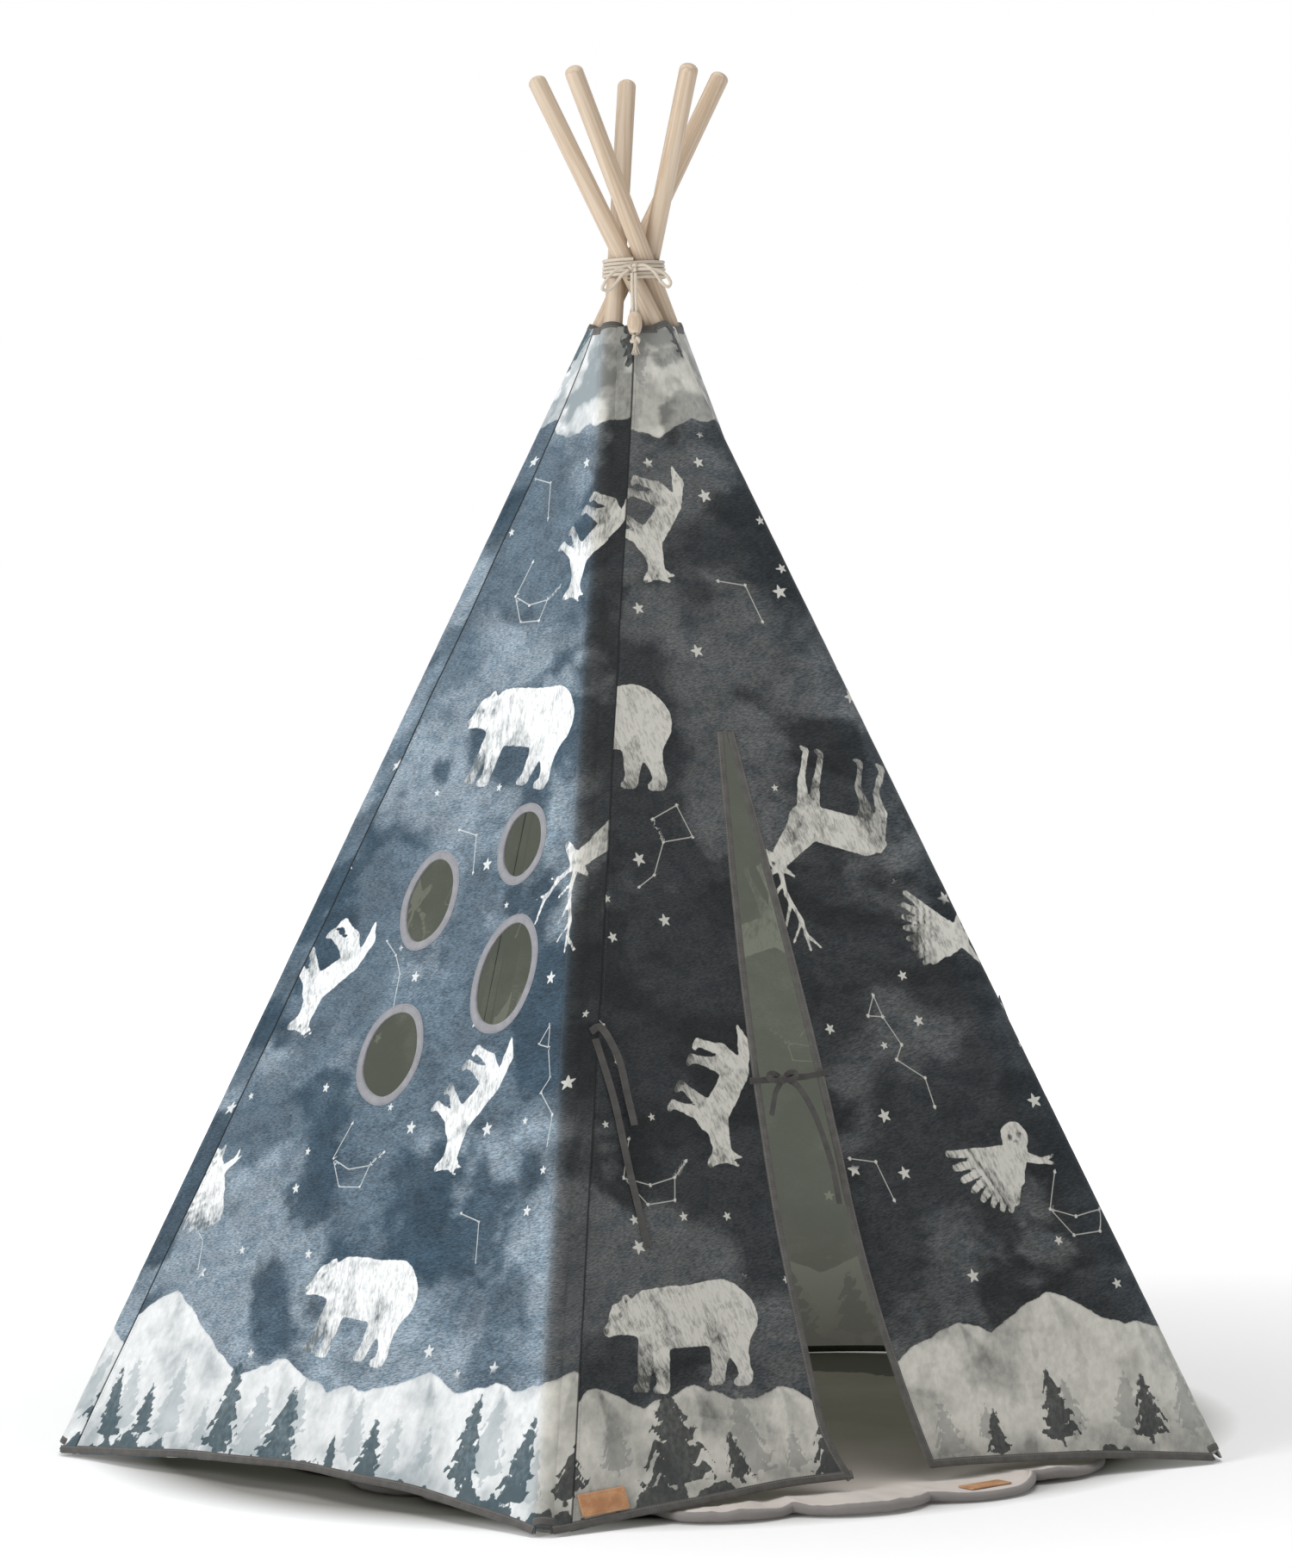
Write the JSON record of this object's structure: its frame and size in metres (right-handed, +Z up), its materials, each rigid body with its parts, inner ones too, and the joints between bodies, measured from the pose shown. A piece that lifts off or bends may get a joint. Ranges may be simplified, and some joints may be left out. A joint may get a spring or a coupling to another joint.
{
  "type": "teepee tent",
  "caption": "Child's teepee play tent with lashed wooden poles in a sleeved canvas cover, a slit door that ties shut, round windows and a padded floor mat.",
  "frame": {"origin": "on the floor, straight under the crossing of the poles, on the underside of the mat", "axes": "+Z up, -Y out through the door, +X to the right of someone who looks in at the door"},
  "size_m": [1.3626, 1.3812, 1.6133],
  "materials": {
    "printed_canvas": "matte",
    "grey_tape": "matte",
    "window_tape": "matte",
    "mat_fabric": "matte",
    "cotton_rope": "matte",
    "pine": "satin",
    "dowel_steel": "satin",
    "label_leather": "satin"
  },
  "bodies": {
    "mat": {"floor_mat": "mat_fabric", "mat_label": "label_leather"},
    "lashing": {"lashing_wraps": "cotton_rope", "lashing_core": "cotton_rope", "bow_knot": "cotton_rope", "bow_loop_left": "cotton_rope", "bow_loop_right": "cotton_rope"},
    "tails": {"tail_cord_left": "cotton_rope", "tail_cord_right": "cotton_rope", "tail_knot": "cotton_rope"},
    "bead": {"bead": "pine"},
    "pole_1": {"pole_1_lower": "pine", "pole_1_upper": "pine", "pole_1_dowel": "dowel_steel", "pole_1_sleeve": "printed_canvas", "tieback_left": "grey_tape"},
    "pole_2": {"pole_2_lower": "pine", "pole_2_upper": "pine", "pole_2_dowel": "dowel_steel", "pole_2_sleeve": "printed_canvas", "tieback_right": "grey_tape"},
    "pole_3": {"pole_3_lower": "pine", "pole_3_upper": "pine", "pole_3_dowel": "dowel_steel", "pole_3_sleeve": "printed_canvas"},
    "pole_4": {"pole_4_lower": "pine", "pole_4_upper": "pine", "pole_4_dowel": "dowel_steel", "pole_4_sleeve": "printed_canvas"},
    "pole_5": {"pole_5_lower": "pine", "pole_5_upper": "pine", "pole_5_dowel": "dowel_steel", "pole_5_sleeve": "printed_canvas"},
    "door_wall": {"door_panel": "printed_canvas", "door_hem_tape": "grey_tape", "door_neck_tape": "grey_tape", "tent_label": "label_leather", "door_side_left": "printed_canvas", "door_side_right": "printed_canvas"},
    "right_wall": {"right_panel": "printed_canvas", "right_hem_tape": "grey_tape", "right_neck_tape": "grey_tape"},
    "back_right_wall": {"back_right_panel": "printed_canvas", "back_right_hem_tape": "grey_tape", "back_right_neck_tape": "grey_tape"},
    "back_left_wall": {"back_left_panel": "printed_canvas", "back_left_hem_tape": "grey_tape", "back_left_neck_tape": "grey_tape"},
    "window_wall": {"window_panel": "printed_canvas", "window_hem_tape": "grey_tape", "window_neck_tape": "grey_tape", "window_bindings": "window_tape"},
    "flap_left": {"flap_left": "printed_canvas", "flap_left_binding": "grey_tape", "door_tie_left": "grey_tape"},
    "flap_right": {"flap_right": "printed_canvas", "flap_right_binding": "grey_tape", "door_tie_right": "grey_tape"}
  },
  "joints": [
    {"name": "tent_lift", "type": "slide", "parent": "mat", "child": "lashing", "axis": [0, 0, 1], "range_m": [0, 0.5], "deforming": ["door_panel", "door_hem_tape", "door_neck_tape", "tent_label", "door_side_left", "door_side_right", "right_panel", "right_hem_tape", "right_neck_tape", "back_right_panel", "back_right_hem_tape", "back_right_neck_tape", "back_left_panel", "back_left_hem_tape", "back_left_neck_tape", "window_panel", "window_hem_tape", "window_neck_tape", "window_bindings", "flap_left", "flap_left_binding", "door_tie_left", "flap_right", "flap_right_binding", "door_tie_right", "tieback_left", "tieback_right"]},
    {"name": "pole_1_fold", "type": "hinge", "parent": "lashing", "child": "pole_1", "pos_m": [-0.02207, 0.00396, 1.36741], "axis": [0.8258, -0.564, 0], "range_deg": [0, 22]},
    {"name": "pole_2_fold", "type": "hinge", "parent": "lashing", "child": "pole_2", "pos_m": [-0.01059, -0.01976, 1.36741], "axis": [0.7915, 0.6111, 0], "range_deg": [0, 22]},
    {"name": "pole_3_fold", "type": "hinge", "parent": "lashing", "child": "pole_3", "pos_m": [0.01552, -0.01618, 1.36741], "axis": [-0.3366, 0.9416, 0], "range_deg": [0, 22]},
    {"name": "pole_4_fold", "type": "hinge", "parent": "lashing", "child": "pole_4", "pos_m": [0.02018, 0.00976, 1.36741], "axis": [-0.9996, -0.0291, 0], "range_deg": [0, 22]},
    {"name": "pole_5_fold", "type": "hinge", "parent": "lashing", "child": "pole_5", "pos_m": [-0.00305, 0.02221, 1.36741], "axis": [-0.2812, -0.9597, 0], "range_deg": [0, 22]},
    {"name": "door_wall_fold", "type": "hinge", "parent": "lashing", "child": "door_wall", "pos_m": [0.00022, -0.00742, 1.36741], "axis": [0.9996, 0.0291, 0], "range_deg": [0, 18.35]},
    {"name": "right_wall_fold", "type": "hinge", "parent": "lashing", "child": "right_wall", "pos_m": [0.00712, -0.00209, 1.36741], "axis": [0.2812, 0.9597, 0], "range_deg": [0, 18.35]},
    {"name": "back_right_wall_fold", "type": "hinge", "parent": "lashing", "child": "back_right_wall", "pos_m": [0.00418, 0.00613, 1.36741], "axis": [-0.8258, 0.564, 0], "range_deg": [0, 18.35]},
    {"name": "back_left_wall_fold", "type": "hinge", "parent": "lashing", "child": "back_left_wall", "pos_m": [-0.00453, 0.00587, 1.36741], "axis": [-0.7915, -0.6111, 0], "range_deg": [0, 18.35]},
    {"name": "window_wall_fold", "type": "hinge", "parent": "lashing", "child": "window_wall", "pos_m": [-0.00699, -0.0025, 1.36741], "axis": [0.3366, -0.9416, 0], "range_deg": [0, 18.35]},
    {"name": "flap_left_open", "type": "hinge", "parent": "door_wall", "child": "flap_left", "pos_m": [-0.31451, -0.5849, 0.004], "axis": [-0.3158, -0.3617, -0.8772], "range_deg": [0, 150]},
    {"name": "flap_right_open", "type": "hinge", "parent": "door_wall", "child": "flap_right", "pos_m": [0.31461, -0.58485, 0.004], "axis": [-0.3359, 0.3587, 0.8709], "range_deg": [0, 150]},
    {"name": "tails_swing", "type": "hinge", "parent": "lashing", "child": "tails", "pos_m": [-0.01834, -0.0376, 1.37941], "axis": [-0.8988, 0.4384, 0], "range_deg": [0, 60]},
    {"name": "bead_slide", "type": "slide", "parent": "tails", "child": "bead", "axis": [0.1212, 0.2485, 0.961], "range_m": [0, 0.03]}
  ],
  "couplings": [
    {"joint": "pole_1_fold", "follows": "tent_lift", "rad_per_m": 0.76794},
    {"joint": "pole_2_fold", "follows": "tent_lift", "rad_per_m": 0.76794},
    {"joint": "pole_3_fold", "follows": "tent_lift", "rad_per_m": 0.76794},
    {"joint": "pole_4_fold", "follows": "tent_lift", "rad_per_m": 0.76794},
    {"joint": "pole_5_fold", "follows": "tent_lift", "rad_per_m": 0.76794},
    {"joint": "door_wall_fold", "follows": "tent_lift", "rad_per_m": 0.64053},
    {"joint": "right_wall_fold", "follows": "tent_lift", "rad_per_m": 0.64053},
    {"joint": "back_right_wall_fold", "follows": "tent_lift", "rad_per_m": 0.64053},
    {"joint": "back_left_wall_fold", "follows": "tent_lift", "rad_per_m": 0.64053},
    {"joint": "window_wall_fold", "follows": "tent_lift", "rad_per_m": 0.64053}
  ]
}
